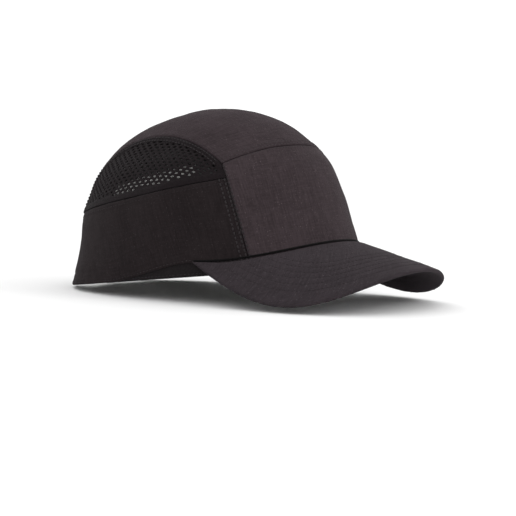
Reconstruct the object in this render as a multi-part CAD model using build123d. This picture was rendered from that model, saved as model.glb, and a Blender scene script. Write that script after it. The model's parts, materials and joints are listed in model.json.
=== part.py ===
"""Bump cap: a sewn baseball-style cap over a padded hard shell.

Millimetres. Everything is first built in the worn frame: the head opening lies in the plane Z = 0 with its
centre at the origin, +Z runs up the wearer's head, the visor points to -Y and the wearer's right is -X.
main() then lays the whole cap down the way it stands on a table, on the two low sides of the visor and the
back of the hem, with the middle of its bounding box's base at the origin.

Two rigid bodies: the cap itself, with its shell and padding, and the free half of the hook-and-loop size
strap, which slides along its own arc across the arch at the back.
"""

from build123d import *
import math
import os

# ---- driving dimensions of the crown's outer surface ----
HALF_WIDTH = 87.5  # head opening, centre to side
FRONT_REACH = 103.6  # head opening, centre to forehead
BACK_REACH = 116.0  # head opening, centre to nape
CROWN_HEIGHT = 125.0  # head opening to the top of the crown
FULL_FRONT, FULL_SIDE, FULL_BACK = 0.075, 0.145, 0.087  # how far the dome fills out past an ellipsoid
FLARE_HEIGHT = 48.0  # the hem spreads below this height
FLARE_FRONT, FLARE_SIDE, FLARE_BACK, FLARE_QUARTER = 0.08, 0.015, 0.02, 0.07

# ---- seams, as directions from the centre of the dome ----
FRONT_SEAM_DEG, FRONT_SEAM_LEAN = 47.5, 0.22  # front panel side seam: degrees round, and more per degree up
TOP_SEAM_DEG, TOP_SEAM_DROP, TOP_SEAM_POWER = 45.4, 7.0, 2.6  # front panel's top seam at its middle
BAND_SEAM, BAND_SEAM_TILT = 0.495, 0.078  # sine of the elevation of the seam between mesh and side panel
STRIP_HALF, STRIP_TAPER = 0.58, 0.16  # sine of the crown strip's half angle, and how it narrows backwards
MESH_REAR_DEG = 150.0
HEM_RISE = 10.0  # how far the outer hem climbs to meet the visor's tips
HEM_RISE_FROM_DEG, HEM_RISE_TO_DEG = 112.0, 71.0
SEAM_GAP = 0.4

# ---- fabric layers, as depths below the outer surface ----
FABRIC = 1.2
MESH_FABRIC = 1.0
FACING_DEPTH, FACING_THICKNESS, FACING_HEIGHT, FACING_END_DEG = 1.5, 1.0, 28.0, 112.0
TAPE_DEPTH, TAPE_THICKNESS, TAPE_HALF_WIDTH = 1.45, 0.5, 6.0
PATCH_SIZE = (22.0, 14.0)
LOOP_PATCH_DEPTH, HOOK_PATCH_DEPTH, PATCH_THICKNESS = 1.35, 2.3, 0.75
PATCH_PLACES = {"front": (0.0, 31.0), "left": (90.0, 66.0), "rear": (180.0, 36.0), "right": (270.0, 66.0)}
LABEL_PLACE, LABEL_SIZE, LABEL_DEPTH, LABEL_THICKNESS = (62.0, 7.0), (24.0, 16.0), 2.55, 0.25
FRONT_TAPE_SHARE = 0.86  # of the front panel's top seam
SIDE_TAPE_FROM, SIDE_TAPE_TO = 60.0, 140.0  # degrees over the head

# ---- arch at the back, and the size strap across it ----
ARCH_HALF_WIDTH, ARCH_HEIGHT, BINDING_WIDTH = 38.0, 40.0, 4.0
BINDING_PROUD, BINDING_THICKNESS = 0.4, 1.8
STRAP_CENTRE_Y = 30.0  # every strap layer is an arc about this upright axis
STRAP_BOTTOM, STRAP_TOP = 3.0, 23.0
HOOK_STRAP_RADII, HOOK_STRAP_DEG = (77.8, 79.0), (-8.0, 54.0)  # degrees from straight back towards the left
LOOP_STRAP_RADII, LOOP_STRAP_DEG = (76.4, 77.6), (-50.0, 22.0)
ANCHOR_RADII, ANCHOR_DEG = (77.7, 79.4), (-50.0, -38.0)
SLEEVE_RADII, SLEEVE_DEG = (76.9, 77.5), (31.0, 76.0)
SLEEVE_BOTTOM, SLEEVE_TOP = 1.0, 25.5
TAB_RADII, TAB_DEG = (79.1, 79.9), (-8.0, -1.0)

# ---- visor ----
VISOR_RADIUS = 120.0  # bend of the top surface, seen from the front
VISOR_PITCH = 20.9
VISOR_ROOT_HEIGHT = 19.8  # top surface at the front middle of the crown
VISOR_ROOT_DEG = 72.3  # tips of the visor round the head opening
VISOR_LENGTH, VISOR_SPREAD_DEG = 65.2, 31.8
VISOR_TIP_POWER, VISOR_EDGE_POWER = 4.9, 0.8
VISOR_COVER, VISOR_BOARD, VISOR_CLEARANCE = 0.8, 1.6, 1.5
VISOR_THICKNESS = 2 * VISOR_COVER + VISOR_BOARD

# ---- shell and padding, as depths below the unflared outer surface ----
SHELL_DEPTH, SHELL_THICKNESS = 3.2, 2.0
REAR_SLACK = 4.0  # extra room between cover and shell at the nape
SHELL_BOTTOM = 12.0
SHELL_REAR_EDGE = ((12.0, 10.0), (30.0, 16.0), (62.0, 42.0), (88.0, 52.0), (128.0, 54.0))  # (Y, Z)
RIB_HEIGHT, RIB_WIDTH, RIB_PLACES, RIB_ENDS = 0.8, 5.0, (-22.0, 0.0, 22.0), (-38.0, 62.0)
PAD_DEPTH, PAD_THICKNESS = 5.5, 5.0
PAD_SPANS = {  # degrees round, from and to, then degrees up, from and to
    "front_pad": (-38, 38, 18, 36),
    "side_pad_right": (-125, -52, 20, 42),
    "side_pad_left": (52, 125, 20, 42),
    "rear_pad": (150, 210, 28, 46),
}
CROWN_PAD_FROM, CROWN_PAD_LENGTH, CROWN_PAD_HALF = 62, 60, 0.24  # degrees over, and sine of its half width
SWEATBAND_THICKNESS, SWEATBAND_HEIGHTS, SWEATBAND_END_DEG = 2.4, (2.0, 34.0), 110.0
SIDE_VENT, SIDE_VENT_SIZE, SIDE_VENT_TILT = (6.0, 70.8), (78.0, 9.5), 7.7  # (Y, Z), one long slot each side
TOP_VENTS = ((-36.0, -30.0), (36.0, -30.0), (-36.0, 28.0), (36.0, 28.0))  # (X, Y)
TOP_VENT_SIZE = (6.0, 22.0)

# ---- how finely the curved sheets are sampled ----
GRID_STEP = 9.0
SHEET_DEGREE, SHEET_TOLERANCES = 3, (0.05, 0.02, 0.1)  # tolerances are tried in turn
SHEET_OVERSHOOT = 1.0  # a fitted surface may reach this far past its points
RING_POINTS = 36
DOME_LEVELS = (0.0, 0.15, 0.3, 0.45, 0.6, 0.73, 0.84, 0.92, 0.97, 0.9985)  # heights of its lofted rings
INSIDE = Vector(0, 0, 40)  # a point inside the dome, on the side that every sheet is thickened towards
FAR = 200.0


# ---- the crown's outer surface, as a map from directions to points ----
def direction(round_deg, up_deg):
    """Unit direction: round_deg is 0 at the front and 90 at the wearer's left, up_deg is 90 at the top."""
    turn, up = math.radians(round_deg), math.radians(up_deg)
    return Vector(math.cos(up) * math.sin(turn), -math.cos(up) * math.cos(turn), math.sin(up))


def crown_point(way, flared=True):
    """Point of the outer surface in a unit direction."""
    front = way.Y < 0
    full = FULL_FRONT if front else FULL_BACK
    swell = 1 + 4 * way.Z**2 * (full * way.Y**2 + FULL_SIDE * way.X**2)
    height = CROWN_HEIGHT * way.Z
    if flared and height < FLARE_HEIGHT:
        flare = FLARE_FRONT if front else FLARE_BACK + 4 * FLARE_QUARTER * way.X**2
        spread = FLARE_SIDE * way.X**2 + flare * way.Y**2
        swell *= 1 + spread * (1 - height / FLARE_HEIGHT) ** 2
    reach = FRONT_REACH if front else BACK_REACH
    return Vector(HALF_WIDTH * way.X * swell, reach * way.Y * swell, height)


def below_crown(way, depth, flared=True):
    """Point at a depth below the outer surface, along its normal."""
    if callable(depth):
        depth = depth(way)
    point = crown_point(way, flared)
    side = way.cross(Vector(0, 0, 1) if abs(way.Z) < 0.9 else Vector(1, 0, 0)).normalized()
    step = 1e-3
    across = crown_point((way + side * step).normalized(), flared) - point
    along = crown_point((way + way.cross(side) * step).normalized(), flared) - point
    normal = across.cross(along).normalized()
    if normal.dot(way) < 0:
        normal = -normal
    return point - normal * depth


def shell_depth(depth):
    """A depth for a layer of the shell and its padding, which leaves more room at the nape."""
    return lambda way: depth + REAR_SLACK * max(0.0, way.Y) ** 2


def fitted_surface(rows):
    """Smooth surface through a grid of points. Where a fit overshoots between them, the next is tried."""
    points = [point for row in rows for point in row]
    length = max(p.Y for p in points) - min(p.Y for p in points)
    height = max(p.Z for p in points) - min(p.Z for p in points)
    for tolerance in SHEET_TOLERANCES:
        degrees = {"min_deg": SHEET_DEGREE, "max_deg": SHEET_DEGREE}
        face = Face.make_surface_from_array_of_points(rows, tol=tolerance, **degrees)
        size = face.bounding_box().size
        if size.Y < length + SHEET_OVERSHOOT and size.Z < height + SHEET_OVERSHOOT:
            return face
    raise ValueError("no smooth surface fits these points")


def sheet(region, depth, thickness, flared=True, size=(200.0, 60.0), gap=SEAM_GAP):
    """Solid sheet that follows the crown. region maps u, v in 0..1 to a direction; size is in mm."""
    counts = [max(5, round(extent / GRID_STEP)) for extent in size]
    margins = [gap / 2 / extent for extent in size]

    def at(i, j):
        u = margins[0] + (1 - 2 * margins[0]) * i / (counts[0] - 1)
        v = margins[1] + (1 - 2 * margins[1]) * j / (counts[1] - 1)
        return below_crown(region(u, v), depth, flared)

    rows = [[at(i, j) for j in range(counts[1])] for i in range(counts[0])]
    face = fitted_surface(rows)
    return Solid.thicken(face, thickness, normal_override=INSIDE - face.center())


def mirrored(region):
    """The same region on the wearer's other side."""

    def other(u, v):
        way = region(u, v)
        return Vector(-way.X, way.Y, way.Z)

    return other


# ---- seam lines ----
def up_of(height):
    return math.degrees(math.asin(height / CROWN_HEIGHT))


def front_seam(up_deg):
    return FRONT_SEAM_DEG + FRONT_SEAM_LEAN * up_deg


def hem_height(round_deg):
    """Height of the cover's lower edge: level with the visor's underside in front, at the opening behind."""
    if abs(round_deg) < HEM_RISE_TO_DEG:
        foot = crown_point(direction(round_deg, up_of(HEM_RISE)))
        return visor_top(foot.X, foot.Y) - VISOR_THICKNESS / math.cos(math.radians(VISOR_PITCH))
    share = (HEM_RISE_FROM_DEG - abs(round_deg)) / (HEM_RISE_FROM_DEG - HEM_RISE_TO_DEG)
    share = min(1.0, max(0.0, share))
    return HEM_RISE * share * share * (3 - 2 * share)


def band_seam(round_deg):
    """Elevation in degrees of the seam above the side panels."""
    return math.degrees(math.asin(BAND_SEAM + BAND_SEAM_TILT * math.cos(math.radians(round_deg))))


def top_seam(across):
    """Elevation in degrees of the front panel's top seam; across is -1 to 1 between its side seams."""
    return TOP_SEAM_DEG - TOP_SEAM_DROP * min(1.0, abs(across)) ** TOP_SEAM_POWER


def strip_point(over_deg, across):
    """Direction on the crown strip: over_deg runs from the forehead over the top, across is -1 to 1."""
    over = math.radians(over_deg)
    edge = STRIP_HALF
    for _ in range(4):
        edge = STRIP_HALF + STRIP_TAPER * math.sqrt(1 - edge * edge) * math.cos(over)
    side = edge * across
    reach = math.sqrt(1 - side * side)
    return Vector(side, -reach * math.cos(over), reach * math.sin(over))


def round_and_up(way):
    return math.degrees(math.atan2(way.X, -way.Y)), math.degrees(math.asin(way.Z))


def strip_start(across):
    """Where the crown strip begins: on the front panel's top seam."""
    low, high = 35.0, 75.0
    while high - low > 1e-4:
        over = (low + high) / 2
        round_deg, up = round_and_up(strip_point(over, across))
        low, high = (over, high) if up < top_seam(round_deg / front_seam(up)) else (low, over)
    return over


def strip_end(across):
    """Where the crown strip ends: on the seam above the side panels."""
    low, high = 120.0, 175.0
    while high - low > 1e-4:
        over = (low + high) / 2
        round_deg, up = round_and_up(strip_point(over, across))
        low, high = (over, high) if up > band_seam(round_deg) else (low, over)
    return over


# ---- regions of the cover, u and v in 0..1 ----
def front_region(u, v):
    across = 2 * u - 1
    low = up_of(hem_height(across * FRONT_SEAM_DEG))
    up = low + (top_seam(across) - low) * v
    return direction(across * front_seam(up), up)


def strip_region(u, v):
    across = 2 * v - 1
    first, last = strip_start(across), strip_end(across)
    return strip_point(first + (last - first) * u, across)


def side_region(u, v):
    def turn(up):
        return front_seam(up) + (180 - front_seam(up)) * u

    low = high = 0.0
    for _ in range(6):
        low, high = up_of(hem_height(turn(low))), band_seam(turn(high))
    up = low + (high - low) * v
    return direction(turn(up), up)


def mesh_region(u, v):
    """Between the side panel's seam and the crown strip's edge, narrowing to the rear."""
    seam_top = front_seam(band_seam(FRONT_SEAM_DEG))
    low_round = seam_top + (MESH_REAR_DEG - seam_top) * u
    low = direction(low_round, band_seam(low_round))
    start = strip_start(1.0)
    high = strip_point(start + (MESH_REAR_DEG - start) * u, 1.0)
    return (low * (1 - v) + high * v).normalized()


def facing_region(u, v):
    return direction((2 * u - 1) * FACING_END_DEG, up_of(FACING_HEIGHT) * v)


def tape_along(path, half_width=TAPE_HALF_WIDTH):
    """Region of a tape centred on path(u), a direction for each u in 0..1."""
    step = 1e-3

    def region(u, v):
        here, ahead = path(u), path(u + step)
        sideways = here.cross(ahead - here).normalized()
        return (here + sideways * ((2 * v - 1) * half_width / CROWN_HEIGHT)).normalized()

    return region


def front_tape_path(u):
    across = (2 * u - 1) * FRONT_TAPE_SHARE
    up = top_seam(across)
    return direction(across * front_seam(up), up)


def side_tape_path(u):
    """Back along the edge of the crown strip."""
    return strip_point(SIDE_TAPE_FROM + (SIDE_TAPE_TO - SIDE_TAPE_FROM) * u, 1.0)


def patch_region(round_deg, up_deg, size=PATCH_SIZE):
    """A small rectangle of the given width and height, round a direction."""
    middle = direction(round_deg, up_deg)
    east = Vector(0, 0, 1).cross(middle).normalized()
    north = middle.cross(east)

    def region(u, v):
        x, y = (u - 0.5) * size[0] / HALF_WIDTH, (v - 0.5) * size[1] / HALF_WIDTH
        return (middle + east * x + north * y).normalized()

    return region


# ---- cutting and strap shapes ----
def arch_prism(grow=0.0):
    """Solid through the back of the cap with the arch's outline, made larger by grow."""
    half, height = ARCH_HALF_WIDTH + grow, ARCH_HEIGHT + grow
    outline = Plane.XZ * Ellipse(half, height)
    return extrude(outline, amount=-FAR)


def arc_band(radii, span_deg, low, high, round_ends=0.0):
    """Upright curved strap about the strap's axis; degrees run from straight back towards the left."""
    inner, outer = radii
    ring = Cylinder(outer, high - low) - Cylinder(inner, high - low)
    first, last = (90 - a for a in span_deg)
    middle, half = (first + last) / 2, abs(first - last) / 2
    reach = 2 * outer
    turns = [math.radians(middle + t * half) for t in (-1, 0, 1)]
    corners = [(reach * math.cos(turn), reach * math.sin(turn)) for turn in turns]
    wedge = extrude(make_face(Polyline((0, 0), *corners, close=True)), amount=high - low, both=True)
    band = ring & wedge
    if round_ends:
        band = fillet([e for e in band.edges() if e.length < 1.1 * (outer - inner)], round_ends)
    return Pos(0, STRAP_CENTRE_Y, (low + high) / 2) * band


# ---- visor: a sheet bent about a pitched axis, trimmed to its plan outline ----
def visor_top(x, y):
    drop = VISOR_RADIUS - math.sqrt(VISOR_RADIUS**2 - x**2)
    return VISOR_ROOT_HEIGHT + math.tan(math.radians(VISOR_PITCH)) * (y + FRONT_REACH) - drop


def visor_root(across):
    """Point of the crown where the visor's top surface meets it; across is -1 at the wearer's right tip."""
    height = VISOR_ROOT_HEIGHT
    for _ in range(8):
        point = crown_point(direction(across * VISOR_ROOT_DEG, up_of(height)))
        height = visor_top(point.X, point.Y)
    return point


def visor_edge(across):
    """Point of the visor's outer edge, on its top surface."""
    root = visor_root(across)
    length = VISOR_LENGTH * max(0.0, 1 - abs(across) ** VISOR_TIP_POWER) ** (1 / VISOR_EDGE_POWER)
    spread = math.radians(VISOR_SPREAD_DEG) * across
    x, y = root.X + length * math.sin(spread), root.Y - length * math.cos(spread)
    return Vector(x, y, visor_top(x, y))


def visor_outline():
    """Plan outline of the visor, with clearance from the crown."""

    def clear_root(across):
        point = visor_root(across)
        away = Vector(point.X / HALF_WIDTH**2, point.Y / FRONT_REACH**2, 0).normalized()
        return Vector(point.X, point.Y, 0) + away * VISOR_CLEARANCE

    steps = 16
    tip = 0.985
    shares = [tip * (2 * i / steps - 1) for i in range(steps + 1)]
    edge = [Vector(visor_edge(a).X, visor_edge(a).Y, 0) for a in shares]
    root = [clear_root(a) for a in shares]
    sides = [Line(edge[0], root[0]), Line(edge[-1], root[-1])]
    return make_face([Spline(*edge), Spline(*root), *sides])


def visor_layer(depth, thickness):
    """One layer of the visor, between two depths below its top surface."""
    steepness = math.cos(math.radians(VISOR_PITCH))
    outer = VISOR_RADIUS - depth / steepness
    inner = outer - thickness / steepness
    centre_z = VISOR_ROOT_HEIGHT - VISOR_RADIUS
    ring = Plane.XZ * (Circle(outer) - Circle(inner))
    start = Vector(0, 0, centre_z + math.tan(math.radians(VISOR_PITCH)) * FRONT_REACH)
    pitch = math.radians(VISOR_PITCH)
    tube = extrude(Pos(*start) * ring, amount=2 * FAR, dir=Vector(0, -math.cos(pitch), -math.sin(pitch)))
    prism = extrude(Pos(0, 0, -FAR / 2) * visor_outline(), amount=FAR)
    layer = tube & prism
    top_half = [s for s in layer.solids() if s.center().Z > centre_z]
    return max(top_half, key=lambda s: s.volume)


# ---- shell and padding ----
def ring_point(round_deg, depth, level):
    """Point of the shell's surface at a depth and a height, at one angle round."""
    low, high = 0.0, 89.9
    while high - low > 1e-3:
        up = (low + high) / 2
        point = below_crown(direction(round_deg, up), shell_depth(depth), flared=False)
        low, high = (up, high) if point.Z < level else (low, up)
    return Vector(point.X, point.Y, level)


def dome(depth, bottom):
    """Solid dome under the unflared crown, from a height up."""
    top = below_crown(Vector(0, 0, 1), depth, flared=False).Z
    rings = []
    for share in DOME_LEVELS:
        level = bottom + (top - bottom) * share
        points = [ring_point(360 * i / RING_POINTS, depth, level) for i in range(RING_POINTS)]
        rings.append(Wire([Edge.make_spline(points, periodic=True)]))
    return Solid.make_loft(rings)


def rear_sweep():
    """Solid that trims the shell's hem up towards the nape."""
    curve = Spline(*SHELL_REAR_EDGE)
    first, last = curve @ 0, curve @ 1
    floor = -30.0
    lines = Polyline((first.X, first.Y), (first.X, floor), (last.X, floor), (last.X, last.Y))
    outline = Plane.YZ * make_face([curve, lines])
    return extrude(outline, amount=FAR, both=True)


def vents():
    side = Plane.YZ * (Pos(*SIDE_VENT) * (Rot(0, 0, -SIDE_VENT_TILT) * SlotOverall(*SIDE_VENT_SIZE)))
    cuts = [extrude(side, amount=FAR, both=True)]
    for x, y in TOP_VENTS:
        slot = Rot(0, 0, 90) * SlotOverall(TOP_VENT_SIZE[1], TOP_VENT_SIZE[0])
        cuts.append(extrude(Pos(x, y, CROWN_HEIGHT / 2) * slot, amount=FAR))
    return cuts


def bump_shell():
    hollow = dome(SHELL_DEPTH + SHELL_THICKNESS, SHELL_BOTTOM - 3)
    shell = dome(SHELL_DEPTH, SHELL_BOTTOM) - hollow
    crest = dome(SHELL_DEPTH - RIB_HEIGHT, SHELL_BOTTOM) - dome(SHELL_DEPTH + 0.5, SHELL_BOTTOM - 3)
    length = RIB_ENDS[1] - RIB_ENDS[0]
    for x in RIB_PLACES:
        place = Pos(x, sum(RIB_ENDS) / 2, CROWN_HEIGHT / 2)
        outline = place * (Rot(0, 0, 90) * SlotOverall(length, RIB_WIDTH))
        shell += crest & extrude(outline, amount=FAR)
    shell -= rear_sweep()
    for cut in vents():
        shell -= cut
    return shell


def pad(round_from, round_to, up_from, up_to):
    def region(u, v):
        return direction(round_from + (round_to - round_from) * u, up_from + (up_to - up_from) * v)

    width = math.radians(round_to - round_from) * HALF_WIDTH
    height = math.radians(up_to - up_from) * HALF_WIDTH
    return sheet(region, shell_depth(PAD_DEPTH), PAD_THICKNESS, flared=False, size=(width, height))


def crown_pad():
    def region(u, v):
        over = math.radians(CROWN_PAD_FROM + CROWN_PAD_LENGTH * u)
        side = CROWN_PAD_HALF * (2 * v - 1)
        reach = math.sqrt(1 - side * side)
        return Vector(side, -reach * math.cos(over), reach * math.sin(over))

    return sheet(region, shell_depth(PAD_DEPTH), PAD_THICKNESS, flared=False, size=(110.0, 44.0))


def sweatband():
    low, high = (up_of(h) for h in SWEATBAND_HEIGHTS)

    def region(u, v):
        return direction((2 * u - 1) * SWEATBAND_END_DEG, low + (high - low) * v)

    return sheet(region, shell_depth(PAD_DEPTH), SWEATBAND_THICKNESS, flared=False, size=(360.0, 31.0))


def patches(kind, depth, flared):
    """Four retaining patches, placed by degrees round and degrees up."""
    made = {}
    for side, place in PATCH_PLACES.items():
        region = patch_region(*place)
        made[f"retainer_{kind}_{side}"] = sheet(region, depth, PATCH_THICKNESS, flared, PATCH_SIZE, 0.0)
    return made


# ---- the cover ----
def side_panel(region):
    return sheet(region, 0.0, FABRIC, size=(260.0, 60.0)) - arch_prism(BINDING_WIDTH + SEAM_GAP / 2)


def arch_binding():
    reach = 152.0

    def region(u, v):
        return direction(reach + (360 - 2 * reach) * u, up_of(BINDING_WIDTH + ARCH_HEIGHT + 4) * v)

    stock = sheet(region, -BINDING_PROUD, BINDING_THICKNESS, size=(110.0, 48.0), gap=0.0)
    return (stock & arch_prism(BINDING_WIDTH)) - arch_prism()


def cover_pieces():
    tape_size = (150.0, 2 * TAPE_HALF_WIDTH)
    front_tape, side_tape = tape_along(front_tape_path), tape_along(side_tape_path)
    label = patch_region(*LABEL_PLACE, LABEL_SIZE)
    return {
        "front_panel": sheet(front_region, 0.0, FABRIC, size=(190.0, 70.0)),
        "crown_panel": sheet(strip_region, 0.0, FABRIC, size=(200.0, 110.0)),
        "mesh_panel_right": sheet(mirrored(mesh_region), 0.0, MESH_FABRIC, size=(150.0, 40.0)),
        "mesh_panel_left": sheet(mesh_region, 0.0, MESH_FABRIC, size=(150.0, 40.0)),
        "side_panel_right": side_panel(mirrored(side_region)),
        "side_panel_left": side_panel(side_region),
        "arch_binding": arch_binding(),
        "hem_facing": sheet(facing_region, FACING_DEPTH, FACING_THICKNESS, size=(360.0, FACING_HEIGHT)),
        "front_seam_tape": sheet(front_tape, TAPE_DEPTH, TAPE_THICKNESS, size=(130.0, 12.0)),
        "side_seam_tape_right": sheet(mirrored(side_tape), TAPE_DEPTH, TAPE_THICKNESS, size=tape_size),
        "side_seam_tape_left": sheet(side_tape, TAPE_DEPTH, TAPE_THICKNESS, size=tape_size),
        **patches("loop", LOOP_PATCH_DEPTH, True),
        "care_label": sheet(label, LABEL_DEPTH, LABEL_THICKNESS, size=LABEL_SIZE),
        "strap_sleeve": arc_band(SLEEVE_RADII, SLEEVE_DEG, SLEEVE_BOTTOM, SLEEVE_TOP),
        "loop_strap": arc_band(LOOP_STRAP_RADII, LOOP_STRAP_DEG, STRAP_BOTTOM, STRAP_TOP, 4.0),
        "strap_anchor": arc_band(ANCHOR_RADII, ANCHOR_DEG, STRAP_BOTTOM, STRAP_TOP),
        "visor_top_cover": visor_layer(0.0, VISOR_COVER),
        "visor_board": visor_layer(VISOR_COVER, VISOR_BOARD),
        "visor_under_cover": visor_layer(VISOR_COVER + VISOR_BOARD, VISOR_COVER),
    }


def inner_pieces():
    return {
        "bump_shell": bump_shell(),
        **patches("hook", HOOK_PATCH_DEPTH, False),
        **{name: pad(*span) for name, span in PAD_SPANS.items()},
        "crown_pad": crown_pad(),
        "sweatband": sweatband(),
    }


def strap_pieces():
    return {
        "hook_strap": arc_band(HOOK_STRAP_RADII, HOOK_STRAP_DEG, STRAP_BOTTOM, STRAP_TOP, 4.0),
        "strap_pull_tab": arc_band(TAB_RADII, TAB_DEG, STRAP_BOTTOM + 4, STRAP_TOP - 4),
    }


# ---- laying the cap down on a table ----
def leaning(tilt):
    return Location((0, 0, 0), (-tilt, 0, 0))


def rest_tilt(pieces):
    """Degrees the cap leans back when it stands on the visor's low sides and the back of the hem."""
    front = pieces["visor_under_cover"]
    heels = [pieces["arch_binding"], pieces["side_panel_left"], pieces["strap_anchor"]]
    low, high = 3.0, 12.0
    while high - low > 1e-3:
        tilt = (low + high) / 2
        front_low = front.moved(leaning(tilt)).bounding_box().min.Z
        back_low = min(p.moved(leaning(tilt)).bounding_box().min.Z for p in heels)
        low, high = (tilt, high) if front_low < back_low else (low, tilt)
    return tilt


def main():
    os.makedirs("parts", exist_ok=True)
    pieces = {**cover_pieces(), **inner_pieces(), **strap_pieces()}
    tilt = rest_tilt(pieces)
    boxes = [piece.moved(leaning(tilt)).bounding_box() for piece in pieces.values()]
    front, back = min(b.min.Y for b in boxes), max(b.max.Y for b in boxes)
    floor = min(b.min.Z for b in boxes)
    place = Location((0, -(front + back) / 2, -floor)) * leaning(tilt)
    for name, piece in pieces.items():
        export_step(piece.moved(place), f"parts/{name}.step")
    print(f"leans back {tilt:.3f} degrees, head opening centre {place.position}")


if __name__ == "__main__":
    main()
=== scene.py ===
import json
import math

import bmesh
import bpy
import numpy as np
from mathutils import Matrix, Vector

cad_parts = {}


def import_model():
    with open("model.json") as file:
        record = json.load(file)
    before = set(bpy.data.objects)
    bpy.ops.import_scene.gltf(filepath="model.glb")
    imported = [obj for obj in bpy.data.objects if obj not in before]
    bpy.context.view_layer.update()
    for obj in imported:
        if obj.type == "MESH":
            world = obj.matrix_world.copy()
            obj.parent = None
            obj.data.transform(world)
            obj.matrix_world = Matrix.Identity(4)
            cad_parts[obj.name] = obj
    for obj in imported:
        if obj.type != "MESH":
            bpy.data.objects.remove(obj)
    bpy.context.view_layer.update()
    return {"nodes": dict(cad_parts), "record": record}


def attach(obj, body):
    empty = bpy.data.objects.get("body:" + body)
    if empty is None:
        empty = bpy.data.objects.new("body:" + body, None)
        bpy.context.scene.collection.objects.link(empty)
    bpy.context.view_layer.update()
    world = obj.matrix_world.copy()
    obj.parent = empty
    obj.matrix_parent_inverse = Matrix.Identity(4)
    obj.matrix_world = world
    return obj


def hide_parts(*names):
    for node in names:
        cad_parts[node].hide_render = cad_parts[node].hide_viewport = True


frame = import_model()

RECORD = frame["record"]

# ---- crown and seams: the same directions and depths, in mm, as the solids ----
HALF_WIDTH, FRONT_REACH, BACK_REACH, CROWN_HEIGHT = 87.5, 103.6, 116.0, 125.0
FULL_FRONT, FULL_SIDE, FULL_BACK = 0.075, 0.145, 0.087
FLARE_HEIGHT, FLARE_FRONT, FLARE_SIDE, FLARE_BACK, FLARE_QUARTER = 48.0, 0.08, 0.015, 0.02, 0.07
FRONT_SEAM_DEG, FRONT_SEAM_LEAN = 47.5, 0.22
TOP_SEAM_DEG, TOP_SEAM_DROP, TOP_SEAM_POWER = 45.4, 7.0, 2.6
BAND_SEAM, BAND_SEAM_TILT = 0.495, 0.078
STRIP_HALF, STRIP_TAPER = 0.58, 0.16
HEM_RISE, HEM_RISE_FROM_DEG, HEM_RISE_TO_DEG = 10.0, 112.0, 71.0
SEAM_GAP = 0.4
FABRIC = 1.2
REAR_SLACK = 4.0
ARCH_HALF_WIDTH, ARCH_HEIGHT, BINDING_WIDTH = 38.0, 40.0, 4.0
STRAP_CENTRE_Y = 30.0
VISOR_RADIUS, VISOR_PITCH, VISOR_ROOT_HEIGHT, VISOR_ROOT_DEG = 120.0, math.radians(20.9), 19.8, 72.3
VISOR_LENGTH, VISOR_SPREAD_DEG, VISOR_TIP_POWER, VISOR_EDGE_POWER = 65.2, 31.8, 4.9, 0.8
VISOR_THICKNESS = 3.2

# ---- cloth detail, in mm ----
ROLL = 0.8  # radius of a panel's turned edge
STEP = 1.6  # mesh size on a panel
EDGE_STEPS = (0.0, 0.12, 0.35, 0.7, 1.1, 1.6, 2.2, 3.0)
FINE = (3.0, 2.1, 0.2)  # pitch, length and radius of a stitch
ROPE = (3.3, 2.3, 0.55)
MESH_ROPE = (3.0, 2.1, 0.42)
PUCKER, PUCKER_PITCH, PUCKER_WIDTH = 0.17, 5.0, 1.5  # how stitching gathers the cloth beside it
HOLE_PITCH, HOLE_ROWS, HOLE_HALF = 4.8, 2.5, (1.12, 0.66)
VISOR_ROW_STEP = 5.0
VISOR_ROWS = [9.0 + VISOR_ROW_STEP * k for k in range(6)]
ROOT_GAP = 1.4  # between the crown and the rolled root of the visor
ROOT_SINK, ROOT_SINK_WIDTH = 1.0, 5.0  # the visor's top sinks towards its root seam
WELT_REACH, WELT_RISE, WELT_PROUD, WELT_RADIUS = 0.985, -0.9, 0.4, 0.8
FRONT_SWELLS = ((-1.4, 126.0, 6.0), (1.3, 110.0, 12.0), (0.9, 78.0, 14.0))  # (amount, height, spread) of the worn cloth off the dome
REAR_SWELLS = ((-1.6, 126.0, 7.0), (1.5, 104.0, 12.0), (-1.4, 68.0, 10.0), (1.0, 45.0, 7.0), (0.8, 12.0, 10.0))

# ---- from the cap's own frame, in mm, to the table's, in metres ----
MOUNT = next(m for m in RECORD["mounts"] if m["name"] == "head_opening")
ORIGIN = np.array(MOUNT["pos_m"], float)
UP = -np.array(MOUNT["axis"], float)
LEFT = np.array([1.0, 0.0, 0.0])
BACKWARD = np.cross(UP, LEFT)
BASIS = np.stack([LEFT, BACKWARD, UP])


def to_row(points):
    return ORIGIN + (np.asarray(points, float) / 1000) @ BASIS


def turn_to_row(vectors):
    return np.asarray(vectors, float) @ BASIS


# ---- the crown's surface ----
def unit(v):
    return v / np.maximum(np.linalg.norm(v, axis=-1, keepdims=True), 1e-12)


def smooth(x, low, high):
    t = np.clip((x - low) / (high - low), 0, 1)
    return t * t * (3 - 2 * t)


def direction(round_deg, up_deg):
    turn, up = np.broadcast_arrays(np.radians(round_deg), np.radians(up_deg))
    return np.stack([np.cos(up) * np.sin(turn), -np.cos(up) * np.cos(turn), np.sin(up)], -1)


def round_and_up(way):
    up = np.degrees(np.arcsin(np.clip(way[..., 2], -1, 1)))
    return np.degrees(np.arctan2(way[..., 0], -way[..., 1])), up


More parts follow.
